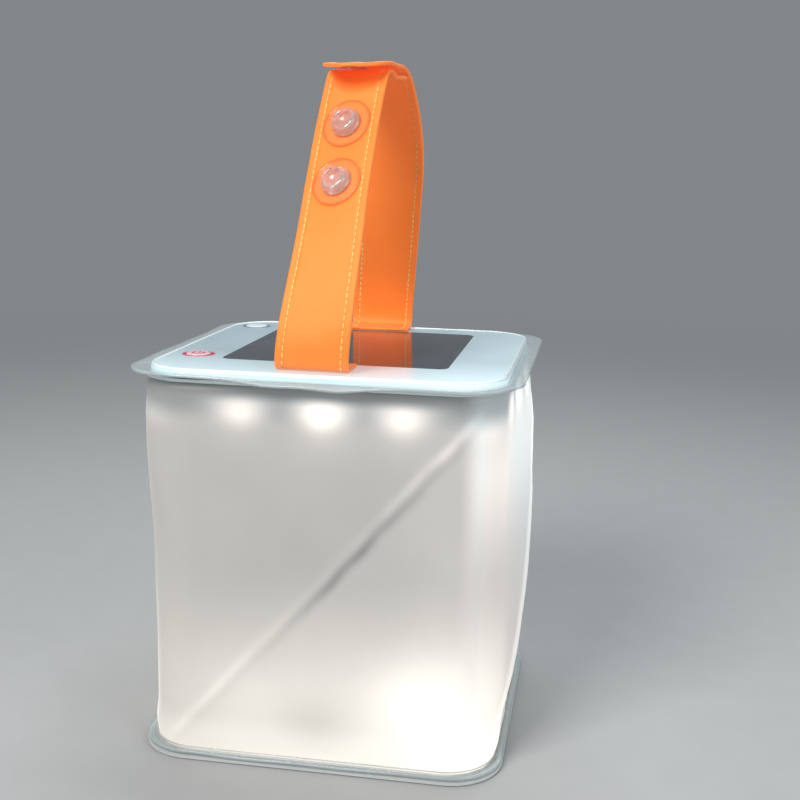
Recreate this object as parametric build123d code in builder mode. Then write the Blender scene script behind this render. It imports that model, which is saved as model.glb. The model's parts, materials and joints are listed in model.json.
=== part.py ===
"""Inflatable solar lantern: a square film body that folds flat under a solar top unit.

Frame: origin at the centre of the underside, +X right, +Y to the rear, +Z up, millimetres.
"""
import os
from math import atan2, cos, degrees, sin

from build123d import *

os.makedirs("parts", exist_ok=True)

# ------------------------------------------------------------------ driving dimensions
PLATE = 140.0           # side of the square top plate
PLATE_CORNER = 20.0     # its corner radius, seen from above
PLATE_T = 3.0           # its thickness
SKIRT = 7.0             # width of the welded skirt outside the plate
BASE_SKIRT = 3.5        # width of the lower skirt outside the wall
TOP = 157.0             # underside of the bottom sheet to the top of the plate
FILM = 0.8              # film thickness of the sheets
HEM = 1.0               # thickness of a weld ring
WALL_T = 0.6            # side wall film
PILLOW = 4.0            # how far the wall bulges at half height

PANEL_X = 91.0          # solar panel, side to side
PANEL_Y = 96.0          # solar panel, front to rear
PANEL_SHIFT = 6.0       # the panel sits this far behind the middle
PANEL_CORNER = 4.0
BACKING_T = 0.5
CELL_T = 0.2
COVER_T = 0.5
CELL_COUNT = 6          # cells side by side

TRAY = 132.0            # side of the housing tray under the plate
TRAY_CORNER = 15.0
TRAY_WALL = 1.5
TRAY_FLOOR_T = 1.4
TRAY_BOTTOM = 142.0
GASKET_T = 0.6

LED_RING = 96.0         # side of the square on which the lamps sit
LED_STEP = 33.0         # distance from lamp to lamp along a side
LED_SIZE = 5.0
LED_T = 1.0
LED_BOARD_T = 1.0
LED_BOARD_W = 16.0
COVER_SIDE = 124.0      # frosted cover under the lamps
COVER_BOTTOM = 138.4
COVER_WALL = 1.2
COVER_FLOOR_T = 1.0

POWER_AT = (-57.4, -33.6)
CHARGE_AT = (-58.0, 52.0)
BUTTON_R = 5.0
BUTTON_LIP_R = 5.9
BUTTON_TRAVEL = 0.8
RING_R = 6.7

VALVE_Y = -34.0         # the valve lies under the front half of the body
VALVE_R = 8.0           # outside of the cup
VALVE_GAP = 0.05        # play between the cup and the sheet's hole
CUP_R = 6.0             # recess that holds the cap
CUP_DEPTH = 2.6
STEM_R = 4.6
BORE_R = 3.2
STEM_TOP = 9.0

STRAP_W = 28.5          # webbing width
STRAP_T = 1.2           # webbing thickness
FRONT_FOLD_Y = -61.0    # where each strap half folds up from the plate
REAR_FOLD_Y = 66.0
FOLD_LIFT = 1.0         # fold line above the plate
FRONT_TOP = 111.5       # height of the front half's flat end above the plate
TONGUE_TOP = 115.8      # height of the closing tongue above the plate
FRONT_CORNER_Y = -8.0   # where the legs' lines meet the flat stretches
REAR_CORNER_Y = 12.0
FRONT_END_Y = 6.0
TONGUE_HINGE_Y = 5.5
TONGUE_TIP_Y = -24.0
BEND_R = 6.0
SHOULDER_R = 7.0
HINGE_GAP = 0.7         # webbing stops this far from each fold axis

SNAP_HEIGHTS = (71.0, 93.0)     # snap centres above the plate
SNAP_DISC_R = 10.5
SNAP_DISC_T = 1.0
SNAP_DOME_R = 6.0
SNAP_DOME_H = 3.4
SNAP_BACK_R = 6.0
SNAP_BACK_T = 0.8

# ------------------------------------------------------------------ levels worked out from them
OUTER = PLATE + 2 * SKIRT
OUTER_CORNER = PLATE_CORNER + SKIRT * 0.5
BASE = PLATE + 2 * BASE_SKIRT
BASE_CORNER = PLATE_CORNER + BASE_SKIRT * 0.5
PLATE_Z = TOP - PLATE_T
FILM_Z = PLATE_Z - FILM
UPPER_HEM_Z = FILM_Z - HEM
WALL_BOTTOM = FILM + HEM
WALL_TOP = UPPER_HEM_Z
TRAY_TOP = FILM_Z - GASKET_T
WINDOW = 128.0          # opening in the top film, over the tray
LED_BOARD_Z = TRAY_BOTTOM - LED_BOARD_T
PANEL_DEPTH = BACKING_T + CELL_T + COVER_T
PANEL_Z = TOP - PANEL_DEPTH


def finish(part, name):
    """Label one finished piece and write it."""
    part.label = name
    export_step(part, f"parts/{name}.step")


def rounded_slab(side, corner, z, thickness, mode=Mode.ADD):
    """Square slab with rounded corners, its underside at z."""
    with BuildSketch(Plane.XY.offset(z)) as outline:
        RectangleRounded(side, side, corner)
    extrude(outline.sketch, amount=thickness, mode=mode)


# ------------------------------------------------------------------ bladder, lower end
with BuildPart() as bottom_sheet:
    rounded_slab(BASE, BASE_CORNER, 0, FILM)
    with BuildSketch(Plane.XY):
        with Locations((0, VALVE_Y)):
            Circle(VALVE_R + VALVE_GAP)
    extrude(amount=FILM, mode=Mode.SUBTRACT)
finish(bottom_sheet.part, "bottom_sheet")


def weld_ring(name, z, side, corner):
    """Flat square hem ring that carries an end of the wall."""
    with BuildPart() as ring:
        rounded_slab(side, corner, z, HEM)
        rounded_slab(PLATE - 4, PLATE_CORNER - 2, z, HEM, mode=Mode.SUBTRACT)
    finish(ring.part, name)


weld_ring("lower_weld_ring", FILM, BASE, BASE_CORNER)
weld_ring("upper_weld_ring", UPPER_HEM_Z, OUTER, OUTER_CORNER)


def pillow(inset, mode=Mode.ADD):
    """Square tube blank that bulges at half height, set in by inset all round."""
    height = WALL_TOP - WALL_BOTTOM
    sections = []
    for share, bulge in ((0, 0), (0.5, PILLOW), (1, 0)):
        side = PLATE - 2 * inset + 2 * bulge
        with BuildSketch(Plane.XY.offset(WALL_BOTTOM + share * height)) as section:
            RectangleRounded(side, side, PLATE_CORNER - inset + 0.3 * bulge)
        sections.append(section.sketch)
    loft(sections, mode=mode)


with BuildPart() as side_wall:
    pillow(0)
    pillow(WALL_T, mode=Mode.SUBTRACT)
finish(side_wall.part, "side_wall")

SEAM_W = 8.0
SEAM_X = -44.0
with BuildPart() as side_seam:
    pillow(-0.5)
    pillow(0, mode=Mode.SUBTRACT)
    with Locations((SEAM_X, PLATE / 2, (WALL_TOP + WALL_BOTTOM) / 2)):
        Box(SEAM_W, 40, WALL_TOP - WALL_BOTTOM - 2, mode=Mode.INTERSECT)
finish(side_seam.part, "side_seam")

# ------------------------------------------------------------------ inflation valve
VALVE_FLANGE_R = 13.0
VALVE_FLANGE_T = 1.0
CUP_FLOOR_T = 1.2
with BuildPart() as valve_body:
    with BuildSketch(Plane.XY.offset(FILM)):
        with Locations((0, VALVE_Y)):
            Circle(VALVE_FLANGE_R)
    extrude(amount=VALVE_FLANGE_T)
    with BuildSketch(Plane.XY):
        with Locations((0, VALVE_Y)):
            Circle(VALVE_R)
    extrude(amount=CUP_DEPTH + CUP_FLOOR_T)
    with BuildSketch(Plane.XY.offset(CUP_DEPTH)):
        with Locations((0, VALVE_Y)):
            Circle(STEM_R)
    extrude(amount=STEM_TOP - CUP_DEPTH)
    with BuildSketch(Plane.XY):
        with Locations((0, VALVE_Y)):
            Circle(CUP_R)
    extrude(amount=CUP_DEPTH, mode=Mode.SUBTRACT)
    with BuildSketch(Plane.XY):
        with Locations((0, VALVE_Y)):
            Circle(BORE_R)
    extrude(amount=STEM_TOP, mode=Mode.SUBTRACT)
finish(valve_body.part, "valve_body")

CAP_Z = 0.3
CAP_T = 1.3
CAP_GAP = 0.6           # play round the cap, so that it can swing out of the cup
PLUG_R = 2.5
PLUG_H = 2.6
TAB_W = 3.6             # living hinge between cap and cup
TAB_L = 1.4
TAB_T = 0.6
with BuildPart() as valve_cap:
    with BuildSketch(Plane.XY.offset(CAP_Z)):
        with Locations((0, VALVE_Y)):
            Circle(CUP_R - CAP_GAP)
    extrude(amount=CAP_T)
    with BuildSketch(Plane.XY.offset(CAP_Z + CAP_T)):
        with Locations((0, VALVE_Y)):
            Circle(PLUG_R)
    extrude(amount=PLUG_H, taper=6)
    with BuildSketch(Plane.XY.offset(CAP_Z)):
        with Locations((0, VALVE_Y + CUP_R - CAP_GAP - 0.5)):
            Rectangle(TAB_W, TAB_L)
    extrude(amount=TAB_T)
finish(valve_cap.part, "valve_cap")

FLAP_Z = STEM_TOP + 0.3
FLAP_T = 0.6
with BuildPart() as check_flap:
    with BuildSketch(Plane.XY.offset(FLAP_Z)):
        with Locations((0, VALVE_Y)):
            Circle(STEM_R - 0.2)
    extrude(amount=FLAP_T)
finish(check_flap.part, "check_flap")

# ------------------------------------------------------------------ top film and plate
with BuildPart() as top_film:
    rounded_slab(OUTER, OUTER_CORNER, FILM_Z, FILM)
    rounded_slab(WINDOW, TRAY_CORNER - 2, FILM_Z, FILM, mode=Mode.SUBTRACT)
finish(top_film.part, "top_film")

POST_X = 92.0           # screw posts: a pair at each side, spacing along X
POST_Y = 112.0          # and along Y
POST_R = 3.2
POST_BOTTOM = 146.0
SCREW_R = 1.2
SCREW_HOLE_R = 1.25
SIDE_POST_X = 57.5      # one more post near each side edge
PLATE_EDGE_R = 1.2
PANEL_PLAY = 0.2
BUTTON_PLAY = 0.3
RING_DEPTH = 0.8
LEAD_SPOTS = ((-30, -36), (-26, -36))   # holes for the panel's two leads
screw_spots = GridLocations(POST_X, POST_Y, 2, 2)
side_spots = Locations((SIDE_POST_X, 0), (-SIDE_POST_X, 8))

with BuildPart() as top_plate:
    rounded_slab(PLATE, PLATE_CORNER, PLATE_Z, PLATE_T)
    fillet(top_plate.faces().sort_by(Axis.Z)[-1].outer_wire().edges(), radius=PLATE_EDGE_R)
    with BuildSketch(Plane.XY.offset(PANEL_Z)):
        with Locations((0, PANEL_SHIFT)):
            RectangleRounded(PANEL_X + PANEL_PLAY, PANEL_Y + PANEL_PLAY, PANEL_CORNER)
    extrude(amount=PANEL_DEPTH, mode=Mode.SUBTRACT)
    for spot in (POWER_AT, CHARGE_AT):
        with BuildSketch(Plane.XY.offset(PLATE_Z)):
            with Locations(spot):
                Circle(BUTTON_R + BUTTON_PLAY)
        extrude(amount=PLATE_T, mode=Mode.SUBTRACT)
        with BuildSketch(Plane.XY.offset(TOP - RING_DEPTH)):
            with Locations(spot):
                Circle(RING_R)
        extrude(amount=RING_DEPTH, mode=Mode.SUBTRACT)
    for spots in (screw_spots, side_spots):
        with BuildSketch(Plane.XY.offset(POST_BOTTOM)):
            with spots:
                Circle(POST_R)
        extrude(amount=PLATE_Z - POST_BOTTOM)
        with BuildSketch(Plane.XY.offset(POST_BOTTOM)):
            with spots:
                Circle(SCREW_HOLE_R)
        extrude(amount=5, mode=Mode.SUBTRACT)
    with BuildSketch(Plane.XY.offset(PLATE_Z)):
        with Locations(*LEAD_SPOTS):
            Circle(0.7)
    extrude(amount=PLATE_T, mode=Mode.SUBTRACT)
finish(top_plate.part, "top_plate")

# ------------------------------------------------------------------ solar panel
with BuildPart() as panel_backing:
    with BuildSketch(Plane.XY.offset(PANEL_Z)):
        with Locations((0, PANEL_SHIFT)):
            RectangleRounded(PANEL_X, PANEL_Y, PANEL_CORNER)
    extrude(amount=BACKING_T)
finish(panel_backing.part, "panel_backing")

cell_pitch = (PANEL_X - 6) / CELL_COUNT
with BuildPart() as solar_cells:
    with BuildSketch(Plane.XY.offset(PANEL_Z + BACKING_T)):
        with Locations((0, PANEL_SHIFT)):
            with GridLocations(cell_pitch, 1, CELL_COUNT, 1):
                Rectangle(cell_pitch - 0.8, PANEL_Y - 7)
    extrude(amount=CELL_T)
finish(solar_cells.part, "solar_cells")

with BuildPart() as panel_cover:
    with BuildSketch(Plane.XY.offset(PANEL_Z + BACKING_T + CELL_T)):
        with Locations((0, PANEL_SHIFT)):
            RectangleRounded(PANEL_X, PANEL_Y, PANEL_CORNER)
    extrude(amount=COVER_T)
finish(panel_cover.part, "panel_cover")

# ------------------------------------------------------------------ buttons
BUTTON_TOP = TOP + 0.5
LIP_TOP = PLATE_Z - 0.2
LIP_T = 0.8
STEM_BOTTOM = LIP_TOP - LIP_T - 0.4


def button(name, spot):
    """Round button: cap through the plate, lip that holds it in, short stem to the switch."""
    with BuildPart() as piece:
        with BuildSketch(Plane.XY.offset(LIP_TOP - LIP_T)):
            with Locations(spot):
                Circle(BUTTON_LIP_R)
        extrude(amount=LIP_T)
        with BuildSketch(Plane.XY.offset(LIP_TOP)):
            with Locations(spot):
                Circle(BUTTON_R)
        extrude(amount=BUTTON_TOP - LIP_TOP)
        fillet(piece.faces().sort_by(Axis.Z)[-1].edges(), radius=0.5)
        with BuildSketch(Plane.XY.offset(STEM_BOTTOM)):
            with Locations(spot):
                Circle(1.5)
        extrude(amount=LIP_TOP - LIP_T - STEM_BOTTOM)
    finish(piece.part, name)


def button_ring(name, spot):
    """Coloured ring let into the plate round a button."""
    with BuildPart() as ring:
        with BuildSketch(Plane.XY.offset(TOP - RING_DEPTH)):
            with Locations(spot):
                Circle(RING_R - 0.05)
                Circle(BUTTON_R + BUTTON_PLAY, mode=Mode.SUBTRACT)
        extrude(amount=RING_DEPTH + 0.1)
    finish(ring.part, name)


for label, place in (("power", POWER_AT), ("charge", CHARGE_AT)):
    button(f"{label}_button", place)
    button_ring(f"{label}_button_ring", place)

# ------------------------------------------------------------------ housing tray
with BuildPart() as seal_gasket:
    rounded_slab(TRAY, TRAY_CORNER, TRAY_TOP, GASKET_T)
    rounded_slab(TRAY - 2 * TRAY_WALL, TRAY_CORNER - TRAY_WALL, TRAY_TOP, GASKET_T, mode=Mode.SUBTRACT)
finish(seal_gasket.part, "seal_gasket")

PILLAR_R = 3.6
BOARD_Z = 147.0
FLOOR_Z = TRAY_BOTTOM + TRAY_FLOOR_T
rib_spots = Locations((-42, 30), (-42, -26), (-24, 30), (-24, -26))
with BuildPart() as housing_tray:
    rounded_slab(TRAY, TRAY_CORNER, TRAY_BOTTOM, TRAY_TOP - TRAY_BOTTOM)
    rounded_slab(
        TRAY - 2 * TRAY_WALL, TRAY_CORNER - TRAY_WALL, FLOOR_Z, TRAY_TOP - FLOOR_Z, mode=Mode.SUBTRACT
    )
    for spots in (screw_spots, side_spots):
        with BuildSketch(Plane.XY.offset(FLOOR_Z)):
            with spots:
                Circle(PILLAR_R)
        extrude(amount=POST_BOTTOM - FLOOR_Z)
    with BuildSketch(Plane.XY.offset(FLOOR_Z)):
        with rib_spots:
            Circle(2)
    extrude(amount=BOARD_Z - FLOOR_Z)
    for spots in (screw_spots, side_spots):
        with BuildSketch(Plane.XY.offset(TRAY_BOTTOM)):
            with spots:
                Circle(1.5)
        extrude(amount=POST_BOTTOM - TRAY_BOTTOM, mode=Mode.SUBTRACT)
        with BuildSketch(Plane.XY.offset(TRAY_BOTTOM)):
            with spots:
                Circle(2.6)
        extrude(amount=1.3, mode=Mode.SUBTRACT, taper=35)
    with BuildSketch(Plane.XY.offset(TRAY_BOTTOM)):
        with Locations((-46, -40), (-42, -40)):
            Circle(0.8)
    extrude(amount=TRAY_FLOOR_T, mode=Mode.SUBTRACT)
finish(housing_tray.part, "housing_tray")

with BuildPart() as housing_screws:
    for spots in (screw_spots, side_spots):
        with BuildSketch(Plane.XY.offset(TRAY_BOTTOM)):
            with spots:
                Circle(2.3)
        extrude(amount=1.2, taper=35)
        with BuildSketch(Plane.XY.offset(TRAY_BOTTOM)):
            with spots:
                Circle(SCREW_R)
        extrude(amount=8.5)
        with BuildSketch(Plane.XY.offset(TRAY_BOTTOM)):
            with spots:
                RegularPolygon(radius=0.9, side_count=6)
        extrude(amount=0.7, mode=Mode.SUBTRACT)
finish(housing_screws.part, "housing_screws")

# ------------------------------------------------------------------ electronics
BOARD_T = 1.2
with BuildPart() as circuit_board:
    with BuildSketch(Plane.XY.offset(BOARD_Z)):
        with Locations((-35.5, 3)):
            Rectangle(31, 78)
        with Locations((-57, -30)):
            Rectangle(13, 24)
        with Locations((-57, 47.5)):
            Rectangle(11.6, 16)
        with Locations((-53, -30), (-53, 40.5)):
            Rectangle(14, 3)
    extrude(amount=BOARD_T)
finish(circuit_board.part, "circuit_board")

CHIP_Z = BOARD_Z + BOARD_T
with BuildPart() as board_components:
    for size, height, spot in (
        ((8, 8), 1.2, (-38, -6)),
        ((5, 4), 1.0, (-30, 12)),
        ((6, 6), 2.6, (-42, 18)),
        ((3, 6), 1.6, (-28, -18)),
        ((7.6, 5), 3.4, (-36, -31)),
        ((7.6, 5), 3.4, (-26, -31)),
    ):
        with BuildSketch(Plane.XY.offset(CHIP_Z)):
            with Locations(spot):
                Rectangle(*size)
        extrude(amount=height)
finish(board_components.part, "board_components")

SWITCH_H = 2.8
with BuildPart() as push_switches:
    for spot in (POWER_AT, CHARGE_AT):
        with BuildSketch(Plane.XY.offset(CHIP_Z)):
            with Locations(spot):
                Rectangle(6, 6)
        extrude(amount=SWITCH_H)
        with BuildSketch(Plane.XY.offset(CHIP_Z + SWITCH_H)):
            with Locations(spot):
                Circle(1.6)
        extrude(amount=0.5)
finish(push_switches.part, "push_switches")

BATTERY_X = 56.0
BATTERY_Y = 70.0
BATTERY_T = 6.0
BATTERY_AT = (14.0, 2.0)
PAD_T = 1.0
with BuildPart() as battery_pad:
    with BuildSketch(Plane.XY.offset(FLOOR_Z)):
        with Locations(BATTERY_AT):
            Rectangle(BATTERY_X - 8, BATTERY_Y - 8)
    extrude(amount=PAD_T)
finish(battery_pad.part, "battery_pad")

with BuildPart() as battery_cell:
    with BuildSketch(Plane.XY.offset(FLOOR_Z + PAD_T)):
        with Locations(BATTERY_AT):
            RectangleRounded(BATTERY_X, BATTERY_Y, 2)
    extrude(amount=BATTERY_T)
    fillet(battery_cell.edges().filter_by(Axis.Z, reverse=True), radius=1)
finish(battery_cell.part, "battery_cell")

LED_COVER_TOP = TRAY_BOTTOM
with BuildPart() as led_board:
    rounded_slab(LED_RING + LED_BOARD_W, 12, LED_BOARD_Z, LED_BOARD_T)
    rounded_slab(LED_RING - LED_BOARD_W, 6, LED_BOARD_Z, LED_BOARD_T, mode=Mode.SUBTRACT)
finish(led_board.part, "led_board")

half_ring = LED_RING / 2
steps = (-LED_STEP, 0.0, LED_STEP)
led_spots = [(x, side * half_ring) for side in (-1, 1) for x in steps]
led_spots += [(side * half_ring, y) for side in (-1, 1) for y in steps]
with BuildPart() as leds:
    with BuildSketch(Plane.XY.offset(LED_BOARD_Z - LED_T)):
        with Locations(led_spots):
            Rectangle(LED_SIZE, LED_SIZE)
    extrude(amount=LED_T)
finish(leds.part, "leds")

with BuildPart() as led_cover:
    rounded_slab(COVER_SIDE, 12, COVER_BOTTOM, LED_COVER_TOP - COVER_BOTTOM)
    rounded_slab(
        COVER_SIDE - 2 * COVER_WALL,
        12 - COVER_WALL,
        COVER_BOTTOM + COVER_FLOOR_T,
        LED_COVER_TOP - COVER_BOTTOM - COVER_FLOOR_T,
        mode=Mode.SUBTRACT,
    )
finish(led_cover.part, "led_cover")


def wire_pair(name, routes, radius=0.45):
    """A pair of short insulated wires on rounded routes."""
    with BuildPart() as pair:
        for route, bend in routes:
            with BuildLine():
                path = FilletPolyline(*route, radius=bend)
            with BuildSketch(Plane(origin=path @ 0, z_dir=path % 0)):
                Circle(radius)
            sweep(path=path)
    finish(pair.part, name)


CHIP_TOP = CHIP_Z + 3.4  # top of the two connectors
LEAD_Z = 152.8           # level of the panel leads under the plate
solar_routes = [
    ([(x, -36, PANEL_Z), (x, -36, LEAD_Z), (x, -33.4, LEAD_Z), (x, -33.4, CHIP_TOP)], 0.45)
    for x in (-30, -26)
]
wire_pair("solar_leads", solar_routes)
battery_routes = [
    ([(-14, y, 147.6), (-17.5, y, 147.6), (-17.5, y, 149.4), (-21.9, y, 149.4)], 0.8)
    for y in (-31.5, -29.5)
]
wire_pair("battery_leads", battery_routes)
led_routes = [
    ([(x, -40, TRAY_BOTTOM), (x, -40, 144.6), (x, -34, 144.6), (x, -34, BOARD_Z)], 1.1)
    for x in (-46, -42)
]
wire_pair("led_leads", led_routes)

# ------------------------------------------------------------------ carrying strap
FOOT_CLEAR = 1.0        # each foot stops short of its fold axis
FRONT_FOOT_L = 13.0
REAR_FOOT_L = 8.0


def strap_foot(name, near, far):
    """Flat end of a strap half, welded to the plate between y = near and y = far."""
    with BuildPart() as foot:
        with BuildSketch(Plane.XY.offset(TOP)):
            with Locations((0, (near + far) / 2)):
                Rectangle(STRAP_W, abs(far - near))
        extrude(amount=STRAP_T)
    finish(foot.part, name)


strap_foot("front_strap_foot", FRONT_FOLD_Y + FOOT_CLEAR, FRONT_FOLD_Y + FOOT_CLEAR + FRONT_FOOT_L)
strap_foot("rear_strap_foot", REAR_FOLD_Y - FOOT_CLEAR, REAR_FOLD_Y - FOOT_CLEAR - REAR_FOOT_L)

fold_z = TOP + FOLD_LIFT
front_flat_z = TOP + FRONT_TOP
tongue_z = TOP + TONGUE_TOP
front_lean = atan2(FRONT_CORNER_Y - FRONT_FOLD_Y, front_flat_z - fold_z)
rear_lean = atan2(REAR_FOLD_Y - REAR_CORNER_Y, tongue_z - fold_z)


def leg_start(fold_y, lean, side):
    """Point on a leg just above its fold axis; side is +1 where the leg leans to +Y."""
    return (fold_y + side * HINGE_GAP * sin(lean), fold_z + HINGE_GAP * cos(lean))


def webbing(name, points, bend):
    """Webbing of constant width along a bent line in the YZ plane."""
    with BuildPart() as band:
        with BuildSketch(Plane.YZ):
            with BuildLine():
                FilletPolyline(*points, radius=bend)
            trace(line_width=STRAP_T)
        extrude(amount=STRAP_W / 2, both=True)
    finish(band.part, name)


front_start = leg_start(FRONT_FOLD_Y, front_lean, 1)
rear_start = leg_start(REAR_FOLD_Y, rear_lean, -1)
webbing(
    "front_webbing",
    [front_start, (FRONT_CORNER_Y, front_flat_z), (FRONT_END_Y, front_flat_z)],
    BEND_R,
)
webbing(
    "rear_webbing",
    [rear_start, (REAR_CORNER_Y, tongue_z), (TONGUE_HINGE_Y + HINGE_GAP, tongue_z)],
    SHOULDER_R,
)

tongue_root_y = TONGUE_HINGE_Y - HINGE_GAP
with BuildPart() as tongue_webbing:
    with BuildSketch(Plane.XY.offset(tongue_z - STRAP_T / 2)):
        with Locations((0, (tongue_root_y + TONGUE_TIP_Y) / 2)):
            tongue_outline = Rectangle(STRAP_W, tongue_root_y - TONGUE_TIP_Y)
        fillet(tongue_outline.vertices().group_by(Axis.Y)[0], radius=10)
    extrude(amount=STRAP_T)
finish(tongue_webbing.part, "tongue_webbing")

# snaps on the front half: the plane of each lies on the leg's outer face
leg_normal = Vector(0, -cos(front_lean), sin(front_lean))
leg_run = Vector(0, sin(front_lean), cos(front_lean))


def leg_plane(height, offset):
    """Plane on the front leg, its normal pointing outwards, offset from the middle of the webbing."""
    along = (height - FOLD_LIFT) / cos(front_lean)
    middle = Vector(0, FRONT_FOLD_Y, fold_z) + leg_run * along
    return Plane(origin=middle + leg_normal * offset, x_dir=(1, 0, 0), z_dir=leg_normal)


with BuildPart() as snap_domes:
    for height in SNAP_HEIGHTS:
        with BuildSketch(leg_plane(height, STRAP_T / 2)):
            Circle(SNAP_DISC_R)
        extrude(amount=SNAP_DISC_T)
        with BuildSketch(leg_plane(height, STRAP_T / 2 + SNAP_DISC_T)):
            Circle(SNAP_DOME_R)
        extrude(amount=SNAP_DOME_H - SNAP_DISC_T, taper=8)
finish(snap_domes.part, "snap_domes")

with BuildPart() as snap_backs:
    for height in SNAP_HEIGHTS:
        with BuildSketch(leg_plane(height, -STRAP_T / 2 - SNAP_BACK_T)):
            Circle(SNAP_BACK_R)
        extrude(amount=SNAP_BACK_T)
finish(snap_backs.part, "snap_backs")

# closing snap: a stud on the front half's flat end, its socket and cap on the tongue above it
STUD_Y = 0.2
STUD_R = 4.0
STUD_T = 0.7
PIN_R = 2.3
PIN_H = 1.2
SOCKET_R = 4.5
SOCKET_HOLE_R = 2.6
SOCKET_T = 0.8
SNAP_CAP_T = 0.9


def snap_disc(radius, z, thickness):
    """Round disc of the closing snap, its underside at z."""
    with BuildSketch(Plane.XY.offset(z)) as outline:
        with Locations((0, STUD_Y)):
            Circle(radius)
    extrude(outline.sketch, amount=thickness)


stud_z = front_flat_z + STRAP_T / 2
with BuildPart() as closure_stud:
    snap_disc(STUD_R, stud_z, STUD_T)
    snap_disc(PIN_R, stud_z + STUD_T, PIN_H)
finish(closure_stud.part, "closure_stud")

with BuildPart() as tongue_socket:
    with BuildSketch(Plane.XY.offset(tongue_z - STRAP_T / 2 - SOCKET_T)):
        with Locations((0, STUD_Y)):
            Circle(SOCKET_R)
            Circle(SOCKET_HOLE_R, mode=Mode.SUBTRACT)
    extrude(amount=SOCKET_T)
finish(tongue_socket.part, "tongue_socket")

with BuildPart() as tongue_cap:
    snap_disc(SOCKET_R, tongue_z + STRAP_T / 2, SNAP_CAP_T)
    fillet(tongue_cap.faces().sort_by(Axis.Z)[-1].edges(), radius=0.5)
finish(tongue_cap.part, "tongue_cap")

print("front leg leans", round(degrees(front_lean), 2), "rear leg leans", round(degrees(rear_lean), 2))
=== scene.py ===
"""Looks of the inflatable solar lantern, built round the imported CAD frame. Metres, +Z up."""
import json
from math import cos, exp, hypot, pi, radians, sin, sqrt

import bmesh
import bpy
from mathutils import Matrix, Vector, noise


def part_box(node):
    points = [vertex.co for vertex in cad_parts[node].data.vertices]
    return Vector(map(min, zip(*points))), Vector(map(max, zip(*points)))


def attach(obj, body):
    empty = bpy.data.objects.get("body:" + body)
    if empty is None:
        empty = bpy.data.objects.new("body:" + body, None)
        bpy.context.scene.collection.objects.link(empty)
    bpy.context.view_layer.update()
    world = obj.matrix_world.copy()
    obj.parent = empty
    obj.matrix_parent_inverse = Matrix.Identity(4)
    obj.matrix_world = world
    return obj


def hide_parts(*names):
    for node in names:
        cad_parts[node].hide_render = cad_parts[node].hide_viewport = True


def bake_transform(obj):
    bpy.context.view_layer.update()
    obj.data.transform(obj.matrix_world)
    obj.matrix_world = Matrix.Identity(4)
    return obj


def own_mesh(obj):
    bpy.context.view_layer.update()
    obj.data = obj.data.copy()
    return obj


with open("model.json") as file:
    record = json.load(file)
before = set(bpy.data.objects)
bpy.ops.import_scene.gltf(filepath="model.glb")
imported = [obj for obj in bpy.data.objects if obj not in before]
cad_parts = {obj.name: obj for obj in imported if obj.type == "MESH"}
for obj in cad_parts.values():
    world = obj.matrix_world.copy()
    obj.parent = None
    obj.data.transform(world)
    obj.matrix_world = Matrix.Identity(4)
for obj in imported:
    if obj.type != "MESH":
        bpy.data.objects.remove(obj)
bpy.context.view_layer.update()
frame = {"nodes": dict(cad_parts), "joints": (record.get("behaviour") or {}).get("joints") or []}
nodes = frame["nodes"]
MM = 0.001

# ------------------------------------------------------------------ sizes read from the frame
plate_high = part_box("top_plate")[1]
film_low, film_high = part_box("top_film")
sheet_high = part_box("bottom_sheet")[1]
lower_hem_low, lower_hem_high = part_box("lower_weld_ring")
upper_hem_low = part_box("upper_weld_ring")[0]
foot_low, foot_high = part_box("front_strap_foot")

TOP = plate_high.z                      # top face of the plate
PLATE_HALF = plate_high.x
SKIRT_HALF = film_high.x
BASE_HALF = sheet_high.x
WALL_HALF = PLATE_HALF                  # the wall meets its welds under the plate's edge
CORNER = 20 * MM
WALL_FOOT = lower_hem_high.z
WALL_HEAD = upper_hem_low.z
WALL_RISE = WALL_HEAD - WALL_FOOT
joints = {j["name"]: j for j in frame["joints"]}


# ------------------------------------------------------------------ small helpers
def new_piece(name, vertices, faces, smooth=True):
    """Mesh object from plain lists."""
    mesh = bpy.data.meshes.new(name)
    mesh.from_pydata([tuple(v) for v in vertices], [], faces)
    mesh.validate()
    if smooth:
        mesh.polygons.foreach_set("use_smooth", [True] * len(mesh.polygons))
    piece = bpy.data.objects.new(name, mesh)
    bpy.context.scene.collection.objects.link(piece)
    return piece


def fix_normals(piece):
    """Make every face of a closed mesh point outwards."""
    b = bmesh.new()
    b.from_mesh(piece.data)
    bmesh.ops.recalc_face_normals(b, faces=b.faces)
    b.to_mesh(piece.data)
    b.free()


def store(piece, name, values, kind="FLOAT"):
    """Keep a number or a point for each vertex, for the shaders to read."""
    attribute = piece.data.attributes.new(name, kind, "POINT")
    key = "vector" if kind == "FLOAT_VECTOR" else "value"
    flat = [c for v in values for c in v] if kind == "FLOAT_VECTOR" else values
    attribute.data.foreach_set(key, flat)


def lathe(name, profile, segments=64):
    """Solid of revolution about Z from (radius, height) points, first and last on the axis."""
    vertices, faces, rings = [], [], []
    for radius, height in profile:
        if radius < 1e-9:
            rings.append([len(vertices)])
            vertices.append((0, 0, height))
        else:
            rings.append([len(vertices) + i for i in range(segments)])
            for i in range(segments):
                angle = 2 * pi * i / segments
                vertices.append((radius * cos(angle), radius * sin(angle), height))
    for low, high in zip(rings, rings[1:]):
        for i in range(segments):
            j = (i + 1) % segments
            if len(low) == 1:
                faces.append((low[0], high[i], high[j]))
            elif len(high) == 1:
                faces.append((low[i], low[j], high[0]))
            else:
                faces.append((low[i], low[j], high[j], high[i]))
    piece = new_piece(name, vertices, faces)
    fix_normals(piece)
    return piece


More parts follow.
